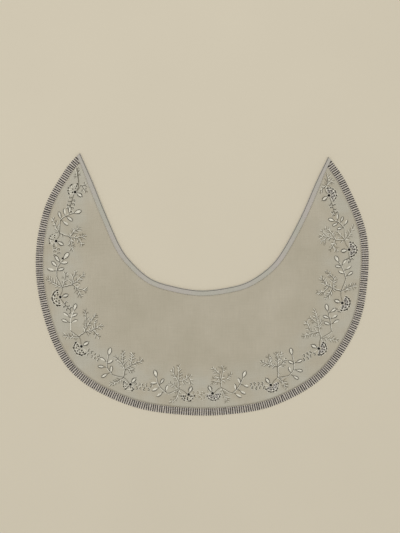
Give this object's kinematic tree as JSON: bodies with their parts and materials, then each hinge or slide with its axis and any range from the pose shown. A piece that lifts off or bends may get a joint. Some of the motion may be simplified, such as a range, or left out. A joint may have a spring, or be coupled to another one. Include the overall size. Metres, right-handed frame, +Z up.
{
  "type": "embroidered collar",
  "caption": "Flat crescent-shaped cloth collar with a folded tape round the neck, a border of hand-embroidered flower sprays and an openwork edging with dark cross bars.",
  "frame": {"origin": "middle of the collar's outline, on the surface that it lies on", "axes": "+Z up out of the face, +Y from the centre back towards the two tips, +X from left to right with the face up"},
  "size_m": [0.2989, 0.2365, 0.0036],
  "materials": {
    "cloth": "matt fine greige muslin",
    "tape": "soft pale lilac-grey silk tape",
    "edging": "pale rails crossed by dark violet-brown thread bars",
    "petals": "raised white and grey thread with dark eyelets",
    "leaves": "white satin stitch with a darker outline",
    "coral": "fine grey-brown chain stitch",
    "knots": "near-black thread knot"
  },
  "bodies": {
    "root": {"ground": "cloth", "neck_binding": "tape", "edging": "edging", "flower_left_1": "petals", "knot_left_1": "knots", "coral_left_1": "coral", "flower_left_2": "petals", "knot_left_2": "knots", "coral_left_2": "coral", "leaves_left_2": "leaves", "flower_left_3": "petals", "knot_left_3": "knots", "coral_left_3": "coral", "leaves_left_3": "leaves", "flower_left_4": "petals", "knot_left_4": "knots", "coral_left_4": "coral", "leaves_left_4": "leaves", "flower_left_5": "petals", "knot_left_5": "knots", "coral_left_5": "coral", "leaves_left_5": "leaves", "flower_left_6": "petals", "knot_left_6": "knots", "coral_left_6": "coral", "leaves_left_6": "leaves", "flower_right_1": "petals", "knot_right_1": "knots", "coral_right_1": "coral", "flower_right_2": "petals", "knot_right_2": "knots", "coral_right_2": "coral", "leaves_right_2": "leaves", "flower_right_3": "petals", "knot_right_3": "knots", "coral_right_3": "coral", "leaves_right_3": "leaves", "flower_right_4": "petals", "knot_right_4": "knots", "coral_right_4": "coral", "leaves_right_4": "leaves", "flower_right_5": "petals", "knot_right_5": "knots", "coral_right_5": "coral", "leaves_right_5": "leaves", "flower_right_6": "petals", "knot_right_6": "knots", "coral_right_6": "coral", "leaves_right_6": "leaves"}
  },
  "joints": []
}
